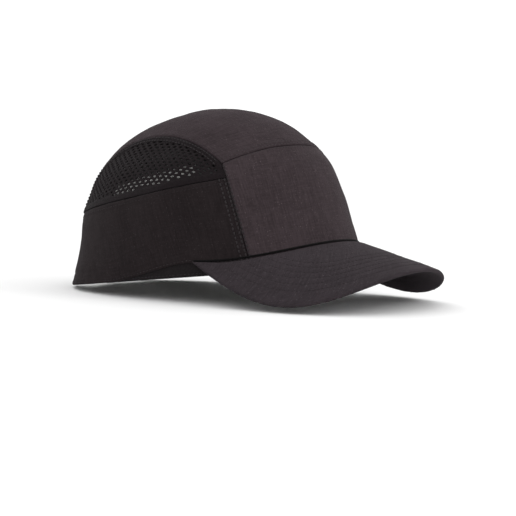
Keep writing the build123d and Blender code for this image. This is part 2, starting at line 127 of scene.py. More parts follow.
def crown(way, flared=True):
    x, y, z = way[..., 0], way[..., 1], way[..., 2]
    full = np.where(y < 0, FULL_FRONT, FULL_BACK)
    swell = 1 + 4 * z**2 * (full * y**2 + FULL_SIDE * x**2)
    height = CROWN_HEIGHT * z
    if flared:
        flare = np.where(y < 0, FLARE_FRONT, FLARE_BACK + 4 * FLARE_QUARTER * x**2)
        spread = FLARE_SIDE * x**2 + flare * y**2
        swell = swell * (1 + spread * np.clip(1 - height / FLARE_HEIGHT, 0, None) ** 2)
    reach = np.where(y < 0, FRONT_REACH, BACK_REACH)
    return np.stack([HALF_WIDTH * x * swell, reach * y * swell, height], -1)


def crown_normal(way, flared=True):
    upright = np.where(np.abs(way[..., 2:3]) < 0.9, [0.0, 0.0, 1.0], [1.0, 0.0, 0.0])
    side = unit(np.cross(way, upright))
    other = np.cross(way, side)
    step = 1e-3
    across = crown(unit(way + side * step), flared) - crown(unit(way - side * step), flared)
    along = crown(unit(way + other * step), flared) - crown(unit(way - other * step), flared)
    normal = unit(np.cross(across, along))
    return np.where(np.sum(normal * way, -1, keepdims=True) < 0, -normal, normal)


def cloth_lift(way):
    """How far the worn cloth stands off the plain dome, in mm."""
    height = CROWN_HEIGHT * way[..., 2]
    front, rear = (
        sum(amount * np.exp(-(((height - middle) / spread) ** 2)) for amount, middle, spread in swells)
        for swells in (FRONT_SWELLS, REAR_SWELLS)
    )
    share = smooth(way[..., 1], -0.15, 0.15)
    return front * (1 - share) + rear * share


def at_depth(way, depth, flared=True):
    depth = np.broadcast_to(np.asarray(depth, float), way.shape[:-1])
    if flared:
        depth = depth - cloth_lift(way)
    return crown(way, flared) - crown_normal(way, flared) * depth[..., None]


def shell_depth(way, depth):
    return depth + REAR_SLACK * np.clip(way[..., 1], 0, None) ** 2


def up_of(height):
    return np.degrees(np.arcsin(np.asarray(height, float) / CROWN_HEIGHT))


# ---- seams ----
def front_seam(up_deg):
    return FRONT_SEAM_DEG + FRONT_SEAM_LEAN * up_deg


def top_seam(across):
    return TOP_SEAM_DEG - TOP_SEAM_DROP * np.clip(np.abs(across), 0, 1) ** TOP_SEAM_POWER


def band_seam(round_deg):
    return np.degrees(np.arcsin(BAND_SEAM + BAND_SEAM_TILT * np.cos(np.radians(round_deg))))


def strip_point(over_deg, across):
    over, across = np.broadcast_arrays(np.radians(over_deg), across)
    edge = np.full(over.shape, STRIP_HALF)
    for _ in range(4):
        edge = STRIP_HALF + STRIP_TAPER * np.sqrt(1 - edge * edge) * np.cos(over)
    side = edge * across
    reach = np.sqrt(1 - side * side)
    return np.stack([side, -reach * np.cos(over), reach * np.sin(over)], -1)


def solve_strip(across, low, high, before):
    """Angle over the head at which before(way) turns false, for each place across the crown strip."""
    low, high = np.full(np.shape(across), low), np.full(np.shape(across), high)
    for _ in range(24):
        middle = (low + high) / 2
        early = before(strip_point(middle, across))
        low, high = np.where(early, middle, low), np.where(early, high, middle)
    return middle


def strip_start(across):
    def before(way):
        turn, up = round_and_up(way)
        return up < top_seam(turn / front_seam(up))

    return solve_strip(across, 35.0, 75.0, before)


def strip_end(across):
    def before(way):
        turn, up = round_and_up(way)
        return up > band_seam(turn)

    return solve_strip(across, 120.0, 175.0, before)


def visor_top(x, y):
    drop = VISOR_RADIUS - np.sqrt(VISOR_RADIUS**2 - x**2)
    return VISOR_ROOT_HEIGHT + math.tan(VISOR_PITCH) * (y + FRONT_REACH) - drop


def hem_height(round_deg):
    foot = crown(direction(round_deg, up_of(HEM_RISE)))
    under_visor = visor_top(foot[..., 0], foot[..., 1]) - VISOR_THICKNESS / math.cos(VISOR_PITCH)
    behind = HEM_RISE * (1 - smooth(np.abs(round_deg), HEM_RISE_TO_DEG, HEM_RISE_FROM_DEG))
    return np.where(np.abs(round_deg) < HEM_RISE_TO_DEG, under_visor, behind)


def arch_height(x, grow):
    half, height = ARCH_HALF_WIDTH + grow, ARCH_HEIGHT + grow
    return height * np.sqrt(np.clip(1 - (x / half) ** 2, 0, 1))


# ---- regions: u, v in 0..1 to a direction ----
def front_region(u, v):
    across = 2 * u - 1
    low = up_of(hem_height(across * FRONT_SEAM_DEG))
    up = low + (top_seam(across) - low) * v
    return direction(across * front_seam(up), up)


def strip_region(u, v):
    across = 2 * v - 1
    first, last = strip_start(across), strip_end(across)
    return strip_point(first + (last - first) * u, across)


def side_region(u, v):
    low, high = np.zeros(u.shape), np.zeros(u.shape)
    for _ in range(8):
        turn = front_seam(low) + (180 - front_seam(low)) * u
        x = crown(direction(turn, low))[..., 0]
        foot = np.where(turn > 120, np.maximum(hem_height(turn), arch_height(x, BINDING_WIDTH / 2)), hem_height(turn))
        low = up_of(foot)
        high = band_seam(front_seam(high) + (180 - front_seam(high)) * u)
    up = low + (high - low) * v
    return direction(front_seam(up) + (180 - front_seam(up)) * u, up)


def mirrored(region):
    return lambda u, v: region(u, v) * np.array([-1.0, 1.0, 1.0])


def band_region(end_deg, low, high):
    return lambda u, v: direction((2 * u - 1) * end_deg, up_of(low + (high - low) * v))


def tape_region(path, half_width):
    def region(u, v):
        here, ahead = path(u), path(u + 1e-3)
        sideways = unit(np.cross(here, ahead - here))
        return unit(here + sideways * ((2 * v - 1) * half_width / CROWN_HEIGHT)[..., None])

    return region


def front_tape_path(u):
    across = (2 * u - 1) * 0.86
    up = top_seam(across)
    return direction(across * front_seam(up), up)


def side_tape_path(u):
    return strip_point(60.0 + 80.0 * u, np.ones(np.shape(u)))


def rear_seam_path(u):
    turn = 105.0 + 150.0 * u
    return direction(turn, band_seam(turn))


def back_seam_path(u):
    low, high = up_of(ARCH_HEIGHT + 1.2 * BINDING_WIDTH), band_seam(180.0)
    return direction(180.0, low + (high - low) * u)


def patch_region(round_deg, up_deg, width, height):
    middle = direction(round_deg, up_deg)
    east = unit(np.cross([0.0, 0.0, 1.0], middle))
    north = np.cross(middle, east)

    def region(u, v):
        x, y = (u - 0.5) * width / HALF_WIDTH, (v - 0.5) * height / HALF_WIDTH
        return unit(middle + east * x[..., None] + north * y[..., None])

    return region


# ---- meshes ----
def add_mesh(name, points, faces, material, body="cap", slot=None, uv=None, fix=True):
    """A piece from points in mm in the cap's frame, which stands for the node of its name. uv is in mm on the cloth."""
    node = name if name in frame["nodes"] else None
    name = f"{name}_{slot}" if node else name
    mesh = bpy.data.meshes.new(name)
    mesh.from_pydata(to_row(points).tolist(), [], faces)
    if uv is not None:
        layer = mesh.uv_layers.new(name="cloth")
        corner = np.zeros(len(mesh.loops), np.int32)
        mesh.loops.foreach_get("vertex_index", corner)
        layer.data.foreach_set("uv", np.asarray(uv, np.float32)[corner].ravel())
    mesh.materials.append(material)
    mesh.polygons.foreach_set("use_smooth", [True] * len(mesh.polygons))
    mesh.update()
    piece = bpy.data.objects.new(name, mesh)
    bpy.context.scene.collection.objects.link(piece)
    if fix:
        outward(mesh)
    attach(piece, body)
    if node:
        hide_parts(node)
    return piece


def outward(mesh):
    made = bmesh.new()
    made.from_mesh(mesh)
    bmesh.ops.recalc_face_normals(made, faces=made.faces)
    made.to_mesh(mesh)
    made.free()


def grid_faces(nu, nv):
    """Closed skin over two grids, the outer one first."""
    k = np.arange(nu * nv).reshape(nu, nv)
    a, b, c, d = k[:-1, :-1].ravel(), k[1:, :-1].ravel(), k[1:, 1:].ravel(), k[:-1, 1:].ravel()
    outer = np.stack([a, b, c, d], 1)
    inner = np.stack([d, c, b, a], 1) + nu * nv
    rim = np.concatenate([k[:, 0], k[-1, 1:], k[-2::-1, -1], k[0, -2:0:-1]])
    after = np.roll(rim, -1)
    wall = np.stack([after, rim, rim + nu * nv, after + nu * nv], 1)
    return np.concatenate([outer, inner, wall]).tolist()


def add_closed(name, outer, inner, material, **settings):
    nu, nv = outer.shape[:2]
    lengths = edge_distances(outer)
    uv = np.stack([lengths["u0"], lengths["v0"]], -1).reshape(-1, 2)
    points = np.concatenate([outer.reshape(-1, 3), inner.reshape(-1, 3)])
    return add_mesh(name, points, grid_faces(nu, nv), material, uv=np.concatenate([uv, uv]), **settings)


def spaced(length, step=STEP):
    """0 to 1 along a length in mm, closer together near both ends."""
    near = np.array([e for e in EDGE_STEPS if e < length / 3])
    count = max(3, int(round((length - 2 * near[-1]) / step)) + 1)
    middle = np.linspace(near[-1], length - near[-1], count)[1:-1]
    return np.concatenate([near, middle, length - near[::-1]]) / length


def edge_distances(points):
    """Distance in mm along the grid from each of its four edges."""
    along = np.linalg.norm(np.diff(points, axis=0), axis=2)
    across = np.linalg.norm(np.diff(points, axis=1), axis=2)
    cu = np.vstack([np.zeros((1, points.shape[1])), np.cumsum(along, axis=0)])
    cv = np.hstack([np.zeros((points.shape[0], 1)), np.cumsum(across, axis=1)])
    return {"u0": cu, "u1": cu[-1:] - cu, "v0": cv, "v1": cv[:, -1:] - cv}


WAVES = np.random.default_rng(7)
WAVE_WAYS = unit(WAVES.normal(size=(14, 3)))
WAVE_STARTS = WAVES.uniform(0, 2 * math.pi, 14)


def ripple(points, length):
    """Gentle unevenness of cloth, about -1 to 1, with waves of roughly a length in mm."""
    total = np.zeros(points.shape[:-1])
    for k, (way, start) in enumerate(zip(WAVE_WAYS, WAVE_STARTS)):
        total += np.sin(points @ way * (2 * math.pi / length) * (0.7 + 0.06 * k) + start)
    return total / 4


def turned_edge(distance):
    near = np.clip(ROLL - distance, 0, ROLL)
    return -(ROLL - np.sqrt(np.maximum(ROLL**2 - near**2, 0)))


def seam_relief(distance, along, rows):
    """Height in mm of the cloth beside a seam: a ridge over the folded allowance and a dip at each stitch row."""
    height = turned_edge(distance)
    if not rows:
        return height
    height = height + 0.35 * smooth(distance, 0.2, 1.2) * (1 - smooth(distance, rows[-1] + 0.6, rows[-1] + 2.4))
    slant = along + 0.8 * distance + 1.2 * np.sin(along / 9)
    for row in rows:
        beside = np.exp(-(((distance - row) / PUCKER_WIDTH) ** 2))
        height = height + PUCKER * np.sin(2 * math.pi * slant / PUCKER_PITCH) * beside
        height = height - 0.22 * np.exp(-(((distance - row) / 0.55) ** 2))
    return height


ALONG = {"u0": "v0", "u1": "v0", "v0": "u0", "v1": "u0"}


def sewn_sheet(name, region, size, depth, thickness, material, rows=None, relief=None, flared=True, slot="twill",
               thread=None, ropes=(), skip=None, soft=0.22):
    """A piece of cloth on the crown. rows gives the stitch rows, in mm from each edge; ropes are edges sewn thickly."""
    rows = rows or {}
    u, v = np.meshgrid(spaced(size[0]), spaced(size[1]), indexing="ij")
    margin = [SEAM_GAP / 2 / s for s in size]
    way = region(margin[0] + (1 - 2 * margin[0]) * u, margin[1] + (1 - 2 * margin[1]) * v)
    base = at_depth(way, depth, flared)
    distances = edge_distances(base)
    height = soft * ripple(base, 34.0) + 0.3 * soft * ripple(base, 11.0)
    for edge, distance in distances.items():
        height = height + seam_relief(distance, distances[ALONG[edge]], rows.get(edge, ()))
    if relief:
        height = height + relief(base)
    closing = np.minimum.reduce([turned_edge(d) for d in distances.values()])
    normal = crown_normal(way, flared)
    outer = base + normal * height[..., None]
    inner = base - normal * (thickness - np.minimum(0.55, -0.5 * closing))[..., None]
    add_closed(name, outer, inner, material, slot=slot)
    for path, facing, edge in stitch_paths(outer, normal, distances, rows, skip or {}):
        if edge in ropes:
            stitch(path, facing, ROPE_THREAD, ROPE)
        elif thread:
            stitch(path, facing, thread)


# ---- stitches ----
def row_path(points, normals, distance, row, axis):
    """Points and normals where the distance from an edge equals a stitch row's."""
    if axis == 1:
        points, normals, distance = points.transpose(1, 0, 2), normals.transpose(1, 0, 2), distance.T
    steps = np.arange(points.shape[0])
    found, facing = [], []
    for k in range(points.shape[1]):
        column = distance[:, k]
        order = column if column[-1] > column[0] else column[::-1]
        if order[-1] < row * 1.6:
            continue
        place = np.interp(row, order, steps if column[-1] > column[0] else steps[::-1])
        low = int(min(place, len(steps) - 2))
        t = place - low
        found.append(points[low, k] * (1 - t) + points[low + 1, k] * t)
        facing.append(normals[low, k])
    return np.array(found), np.array(facing)


def stitch_paths(points, normals, distances, rows, skip):
    paths = []
    for edge, edge_rows in rows.items():
        for row in edge_rows:
            path, facing = row_path(points, normals, distances[edge], row, 0 if edge[0] == "u" else 1)
            if len(path) < 4:
                continue
            if edge in skip:
                keep = skip[edge](path)
                path, facing = path[keep], facing[keep]
            if len(path) > 3:
                paths.append((path, facing, edge))
    return paths


def resample(path, facing, pitch):
    lengths = np.concatenate([[0], np.cumsum(np.linalg.norm(np.diff(path, axis=0), axis=1))])
    places = np.arange(1.3, lengths[-1] - 1.3, pitch)
    points = np.stack([np.interp(places, lengths, path[:, i]) for i in range(3)], 1)
    ahead = np.stack([np.interp(places + 0.3, lengths, path[:, i]) for i in range(3)], 1)
    normals = unit(np.stack([np.interp(places, lengths, facing[:, i]) for i in range(3)], 1))
    return points, unit(ahead - points), normals


STITCHES = {}


def stitch(path, facing, material, kind=None, body="cap"):
    """Thread showing as short humps along a path of points and normals."""
    pitch, length, radius = kind or FINE
    centre, along, normal = resample(path, facing, pitch)
    if not len(centre):
        return
    rings = np.array([-1.0, -0.72, 0.0, 0.72, 1.0])
    sides = 6
    turns = np.arange(sides) * 2 * math.pi / sides
    across = unit(np.cross(along, normal))
    reach = (rings * length / 2)[None, :, None, None]
    lift = (radius * (1.1 * (1 - rings**2) - 0.5))[None, :, None, None]
    girth = (radius * np.where(np.abs(rings) == 1, 0.45, 1.0))[None, :, None, None]
    ring = np.cos(turns)[None, None, :, None] * across[:, None, None, :]
    ring = ring + np.sin(turns)[None, None, :, None] * normal[:, None, None, :]
    hump = centre[:, None, None, :] + along[:, None, None, :] * reach + normal[:, None, None, :] * lift
    points, faces = STITCHES.setdefault((body, material.name), ([], []))
    k = np.arange(len(centre) * len(rings) * sides).reshape(len(centre), len(rings), sides) + len(points)
    after = np.roll(k, -1, axis=2)
    skin = np.stack([k[:, :-1], after[:, :-1], after[:, 1:], k[:, 1:]], -1).reshape(-1, 4)
    faces += skin.tolist() + k[:, 0, ::-1].tolist() + k[:, -1].tolist()
    points += (hump + ring * girth).reshape(-1, 3).tolist()


def add_stitches():
    """One piece for each body and thread."""
    for (body, thread), (points, faces) in STITCHES.items():
        add_mesh(f"{body}_{thread}", points, faces, bpy.data.materials[thread], body=body, slot="binding_tape", fix=False)


# ---- materials ----
def new_material(name):
    material = bpy.data.materials.new(name)
    material.use_nodes = True
    return material, material.node_tree, material.node_tree.nodes["Principled BSDF"]


def add_node(tree, kind, inputs=None, **settings):
    node = tree.nodes.new(kind)
    for key, value in settings.items():
        setattr(node, key, value)
    for key, value in (inputs or {}).items():
        if isinstance(value, bpy.types.NodeSocket):
            tree.links.new(value, node.inputs[key])
        else:
            node.inputs[key].default_value = value
    return node


def math_node(tree, operation, first, second=0.0):
    return add_node(tree, "ShaderNodeMath", {0: first, 1: second}, operation=operation).outputs[0]


def noise(tree, vector, scale, detail=2.0, rough=0.5):
    inputs = {"Vector": vector, "Scale": scale, "Detail": detail, "Roughness": rough}
    return add_node(tree, "ShaderNodeTexNoise", inputs).outputs["Fac"]


def ranged(tree, value, low, high, to_low=0.0, to_high=1.0):
    inputs = {"Value": value, "From Min": low, "From Max": high, "To Min": to_low, "To Max": to_high}
    return add_node(tree, "ShaderNodeMapRange", inputs).outputs["Result"]


def mixed(tree, factor, first, second):
    node = add_node(tree, "ShaderNodeMix", data_type="RGBA")
    for key, value in ((0, factor), (6, first), (7, second)):
        if isinstance(value, bpy.types.NodeSocket):
            tree.links.new(value, node.inputs[key])
        else:
            node.inputs[key].default_value = (*value, 1) if key else value
    return node.outputs[2]


def on_cloth(tree, scale):
    """The cloth's own two directions, in mm, stretched by a scale in waves a metre."""
    place = add_node(tree, "ShaderNodeUVMap", uv_map="cloth").outputs[0]
    sizes = (scale[0] / 1000, scale[1] / 1000, 0.0)
    return add_node(tree, "ShaderNodeVectorMath", {0: place, 1: sizes}, operation="MULTIPLY").outputs[0]


def wave_on_cloth(tree, across, along, pitch):
    """Sine of the given mix of the cloth's two directions, with a pitch in mm."""
    split = add_node(tree, "ShaderNodeSeparateXYZ", {0: add_node(tree, "ShaderNodeUVMap", uv_map="cloth").outputs[0]})
    x = math_node(tree, "MULTIPLY", split.outputs[0], across * 2 * math.pi / pitch)
    y = math_node(tree, "MULTIPLY", split.outputs[1], along * 2 * math.pi / pitch)
    return math_node(tree, "SINE", math_node(tree, "ADD", x, y))


def finish_cloth(tree, shader, colour, height, strength, distance, roughness, sheen, tint):
    bump = add_node(tree, "ShaderNodeBump", {"Height": height, "Strength": strength, "Distance": distance})
    tree.links.new(bump.outputs[0], shader.inputs["Normal"])
    tree.links.new(colour, shader.inputs["Base Color"])
    shader.inputs["Roughness"].default_value = roughness
    shader.inputs["Specular IOR Level"].default_value = 0.06
    shader.inputs["Sheen Weight"].default_value = sheen
    shader.inputs["Sheen Roughness"].default_value = 0.5
    shader.inputs["Sheen Tint"].default_value = (*tint, 1)


def cotton_twill(name, dark, light, tint=(0.9, 0.8, 0.85)):
    """Washed cotton twill: diagonal ribs, slubs, a slow drift of colour and scattered pale fibres."""
    material, tree, shader = new_material(name)
    place = add_node(tree, "ShaderNodeTexCoord").outputs["Object"]
    rib = wave_on_cloth(tree, 1.0, 1.0, 0.62)
    yarn = wave_on_cloth(tree, 1.0, -0.25, 0.36)
    slub = noise(tree, place, 520.0, 3.0, 0.6)
    drift = noise(tree, place, 26.0, 3.0, 0.55)
    warp, weft = (noise(tree, on_cloth(tree, scale), 1.0, 3.0, 0.6) for scale in ((900.0, 60.0), (60.0, 700.0)))
    streaks = ranged(tree, warp, 0.35, 0.65, -0.35, 0.35), ranged(tree, weft, 0.35, 0.65, -0.22, 0.22)
    streak = math_node(tree, "ADD", *streaks)
    fibre = ranged(tree, noise(tree, place, 900.0, 2.0, 0.6), 0.64, 0.74)
    blend = math_node(tree, "ADD", ranged(tree, drift, 0.3, 0.7, 0.0, 0.6), ranged(tree, slub, 0.3, 0.75, 0.0, 0.5))
    blend = math_node(tree, "ADD", blend, streak)
    cloth = mixed(tree, blend, dark, light)
    pale = tuple(min(1.0, c * 2.6 + 0.02) for c in light)
    colour = mixed(tree, math_node(tree, "MULTIPLY", fibre, 0.5), cloth, pale)
    height = math_node(tree, "ADD", math_node(tree, "MULTIPLY", rib, 0.35), math_node(tree, "MULTIPLY", yarn, 0.15))
    height = math_node(tree, "ADD", height, math_node(tree, "MULTIPLY", slub, 1.3))
    finish_cloth(tree, shader, colour, height, 0.55, 0.00012, 0.92, 0.03, tint)
    return material


def plain_cloth(name, colour, rib=(1.0, 0.0, 0.9), fuzz=1.0, roughness=0.9, sheen=0.03, depth=0.0001):
    """Tape, webbing or knit: ribs across the cloth, given as two directions and a pitch in mm, and fuzz."""
    material, tree, shader = new_material(name)
    place = add_node(tree, "ShaderNodeTexCoord").outputs["Object"]
    ribs = wave_on_cloth(tree, *rib)
    cross = wave_on_cloth(tree, rib[1], rib[0], rib[2] * 0.6)
    grain = noise(tree, place, 700.0, 3.0, 0.65)
    shade = mixed(tree, ranged(tree, grain, 0.3, 0.7), tuple(c * 0.72 for c in colour), tuple(c * 1.3 for c in colour))
    height = math_node(tree, "ADD", ribs, math_node(tree, "MULTIPLY", cross, 0.5))
    height = math_node(tree, "ADD", height, math_node(tree, "MULTIPLY", grain, 2.0 * fuzz))
    finish_cloth(tree, shader, shade, height, 0.6, depth, roughness, sheen, (1, 1, 1))
    return material


def pile(name, colour, scale, depth):
    """Towelling, hooks or loops: a field of small round tufts."""
    material, tree, shader = new_material(name)
    place = add_node(tree, "ShaderNodeTexCoord").outputs["Object"]
    tufts = add_node(tree, "ShaderNodeTexVoronoi", {"Vector": place, "Scale": scale}).outputs["Distance"]
    clumps = noise(tree, place, scale / 9, 3.0, 0.6)
    # lighter on the tufts and darker between them: painted shade in the hollows of the pile
    shade = mixed(tree, ranged(tree, tufts, 0.0, 0.6), tuple(c * 1.5 for c in colour), tuple(c * 0.55 for c in colour))
    height = math_node(tree, "SUBTRACT", math_node(tree, "MULTIPLY", clumps, 0.8), tufts)
    finish_cloth(tree, shader, shade, height, 0.8, depth, 0.95, 0.1, (1, 1, 1))
    return material


def foam(name, colour):
    material, tree, shader = new_material(name)
    place = add_node(tree, "ShaderNodeTexCoord").outputs["Object"]
    cells = add_node(tree, "ShaderNodeTexVoronoi", {"Vector": place, "Scale": 1100.0}).outputs["Distance"]
    patches = noise(tree, place, 60.0, 4.0, 0.6)
    shade = mixed(tree, ranged(tree, patches, 0.3, 0.7), tuple(c * 0.9 for c in colour), tuple(min(1, c * 1.08) for c in colour))
    bump = add_node(tree, "ShaderNodeBump", {"Height": cells, "Strength": 0.4, "Distance": 0.0002})
    tree.links.new(bump.outputs[0], shader.inputs["Normal"])
    tree.links.new(shade, shader.inputs["Base Color"])
    shader.inputs["Roughness"].default_value = 0.8
    return material


def moulded_plastic(name, colour, gloss):
    material, tree, shader = new_material(name)
    place = add_node(tree, "ShaderNodeTexCoord").outputs["Object"]
    grain = noise(tree, place, 1500.0, 2.0, 0.5)
    wear = noise(tree, place, 35.0, 5.0, 0.6)
    shade = mixed(tree, ranged(tree, wear, 0.35, 0.7), colour, tuple(c * 1.35 + 0.003 for c in colour))
    tree.links.new(shade, shader.inputs["Base Color"])
    tree.links.new(ranged(tree, wear, 0.3, 0.7, gloss, gloss + 0.14), shader.inputs["Roughness"])
    bump = add_node(tree, "ShaderNodeBump", {"Height": grain, "Strength": 0.25, "Distance": 0.00006})
    tree.links.new(bump.outputs[0], shader.inputs["Normal"])
    return material


def thread_material(name, colour):
    material, tree, shader = new_material(name)
    place = add_node(tree, "ShaderNodeTexCoord").outputs["Object"]
    ply = add_node(tree, "ShaderNodeTexWave", {"Vector": place, "Scale": 900.0, "Distortion": 1.5}).outputs["Fac"]
    shade = mixed(tree, ply, tuple(c * 0.7 for c in colour), tuple(c * 1.25 for c in colour))
    finish_cloth(tree, shader, shade, ply, 0.4, 0.00008, 0.7, 0.05, (1, 1, 1))
    return material


TWILL = cotton_twill("twill", (0.0265, 0.0196, 0.0215), (0.0425, 0.0316, 0.035))
CROWN_TWILL = cotton_twill("crown_twill", (0.0250, 0.0184, 0.0203), (0.0402, 0.0298, 0.0332))
VISOR_TWILL = cotton_twill("visor_twill", (0.0238, 0.0190, 0.0217), (0.0367, 0.0297, 0.0338))
# painted shade: the side panels' twill is a darker copy of the same cloth, for the shade the sides stand in
SHADED_BAND_TWILL = cotton_twill("band_twill", (0.0108, 0.0081, 0.0086), (0.0172, 0.0131, 0.0139))
MESH = plain_cloth("mesh_knit", (0.0102, 0.0075, 0.0085), (1.0, 0.4, 0.7), 0.8)
BINDING = plain_cloth("binding_tape", (0.020, 0.0165, 0.0172), (1.0, 0.0, 0.8), 0.5)
TAPE = plain_cloth("seam_tape", (0.022, 0.019, 0.0195), (1.0, 1.0, 0.9), 0.6)
# painted shade: the hem facing is a darker copy of the seam tape, for the shade inside below the hem
SHADED_FACING = plain_cloth("hem_facing", (0.0120, 0.0100, 0.0106), (1.0, 1.0, 0.9), 0.6)
# painted shade: the welt is near-black to stand in for the shadow in the gap at the visor's root
SHADOW_WELT = plain_cloth("visor_welt", (0.0035, 0.0030, 0.0032), (1.0, 0.0, 0.8), 0.5)
WEBBING = plain_cloth("webbing", (0.020, 0.018, 0.0185), (1.0, 0.0, 1.3), 0.5, 0.8, 0.03, 0.0002)
LOOPS = pile("loop_pile", (0.018, 0.0165, 0.017), 1500.0, 0.0004)
HOOKS = pile("hook_face", (0.014, 0.014, 0.014), 900.0, 0.0005)
TOWELLING = pile("towelling", (0.032, 0.030, 0.031), 1100.0, 0.0005)
FOAM = foam("foam", (0.74, 0.74, 0.72))
PLASTIC = moulded_plastic("hard_shell", (0.016, 0.016, 0.0165), 0.32)
BOARD = moulded_plastic("stiffener", (0.16, 0.16, 0.155), 0.5)
SATIN = plain_cloth("label_satin", (0.62, 0.61, 0.58), (1.0, 0.0, 0.5), 0.2, 0.5, 0.2)
THREAD = thread_material("thread", (0.055, 0.047, 0.049))
SOFT_THREAD = thread_material("soft_thread", (0.044, 0.037, 0.039))
DARK_THREAD = thread_material("dark_thread", (0.022, 0.018, 0.0195))
ROPE_THREAD = thread_material("rope_thread", (0.027, 0.023, 0.0245))


# ---- the cover ----
def front_relief(base):
    """Soft hollow on the wearer's right of the front panel and shallow creases above the visor."""
    x, z = base[..., 0], base[..., 2]
    height = 0.0
    for side, amount in ((-1, 1.0), (1, 0.7)):
        height = height - 1.0 * amount * np.exp(-(((x - side * 36) / 15) ** 2) - ((z - 58) / 15) ** 2)
        lean = z - 30 - 0.12 * (side * x - 30)
        height = height - 0.4 * amount * np.exp(-((lean / 3.2) ** 2) - ((side * x - 38) / 20) ** 2)
        lean = z - 40 + 0.2 * (side * x - 30)
        height = height - 0.3 * amount * np.exp(-((lean / 4.5) ** 2) - ((side * x - 28) / 18) ** 2)
    return height


def crown_relief(base):
    """Slight step where the crown strip sits on the shell, and broad softness over the top."""
    y = base[..., 1]
    return 0.2 * np.sin(y / 16.0) * smooth(np.abs(y), 5, 40) - 0.6 * np.exp(-(((y - 31) / 8) ** 2))


def side_relief(base):
    """The cloth band bows out along its hem and sags a little between its seams."""
    y, z = base[..., 1], base[..., 2]
    fold = -0.35 * np.exp(-(((z - 9.0) / 0.8) ** 2)) - 0.5 * np.exp(-(((z - 46) / 10) ** 2)) * smooth(y, 20, 70)
    return fold + 0.25 * np.sin(y / 12.0 + z / 19.0) * smooth(z, 4, 20)


def clear_of_arch(path):
    return np.abs(path[:, 0]) > ARCH_HALF_WIDTH + 6


def make_panels():
    front_rows = {"u0": (0.9,), "u1": (0.9,), "v1": (1.6,)}
    sewn_sheet("front_panel", front_region, (150.0, 78.0), 0.0, FABRIC, TWILL, front_rows, front_relief,
               thread=SOFT_THREAD, ropes=("u0", "u1"))
    strip_rows = {"u0": (1.6, 4.2), "u1": (1.8,), "v0": (1.6,), "v1": (1.6,)}
    sewn_sheet("crown_panel", strip_region, (210.0, 125.0), 0.0, FABRIC, CROWN_TWILL, strip_rows, crown_relief,
               thread=SOFT_THREAD)
    side_rows = {"u0": (1.3, 5.0), "u1": (1.8,), "v0": (1.5,), "v1": (3.6,)}
    for side, region in (("right", mirrored(side_region)), ("left", side_region)):
        # the side panels take the darker twill copy: painted shade
        sewn_sheet(f"side_panel_{side}", region, (225.0, 62.0), 0.0, FABRIC, SHADED_BAND_TWILL, side_rows, side_relief,
                   thread=DARK_THREAD, ropes=("u0",), skip={"v0": clear_of_arch})
        mesh_panel(side)


# ---- perforated mesh ----
def mesh_limits(way):
    """Distances in mm inside the mesh panel's three edges: its foot, the crown strip and the front seam."""
    x, y, z = way[..., 0], way[..., 1], way[..., 2]
    level = np.maximum(np.hypot(x, y), 1e-6)
    foot = z - (BAND_SEAM - BAND_SEAM_TILT * y / level)
    strip = x - (STRIP_HALF - STRIP_TAPER * y)
    turn, up = round_and_up(way)
    front = np.radians(turn - front_seam(up)) * level
    foot = foot / np.sqrt(np.maximum(1 - z * z, 0.05))
    strip = strip / np.sqrt(np.maximum(1 - x * x, 0.05))
    return np.stack([foot, strip, front], -1) * 100.0


def pull_inside(way, margin=SEAM_GAP / 2):
    """Moves directions that lie outside the mesh panel onto its edge."""
    step = 1e-4
    for _ in range(14):
        limits = mesh_limits(way) - margin
        worst = np.argmin(limits, -1)
        value = np.take_along_axis(limits, worst[..., None], -1)[..., 0]
        slopes = []
        for axis in range(3):
            moved = way.copy()
            moved[..., axis] += step
            after = np.take_along_axis(mesh_limits(unit(moved)) - margin, worst[..., None], -1)[..., 0]
            slopes.append((after - value) / step)
        slope = np.stack(slopes, -1)
        shift = np.where(value < 0, -value, 0) / np.maximum(np.sum(slope**2, -1), 1e-9)
        way = unit(way + slope * shift[..., None])
    return way


def hole_cells():
    """Centres of a staggered grid that covers the panel's area, and each cell's twelve corner offsets."""
    corners = np.array([(0, 2 / 3), (0.5, 1 / 3), (0.5, -1 / 3), (0, -2 / 3), (-0.5, -1 / 3), (-0.5, 1 / 3)])
    corners = corners * [HOLE_PITCH, HOLE_ROWS]
    rim = np.stack([corners, (corners + np.roll(corners, -1, axis=0)) / 2], 1).reshape(-1, 2)
    centres = [((i + 0.5 * (j % 2)) * HOLE_PITCH, j * HOLE_ROWS) for j in range(-22, 23) for i in range(-26, 27)]
    return np.array(centres), rim


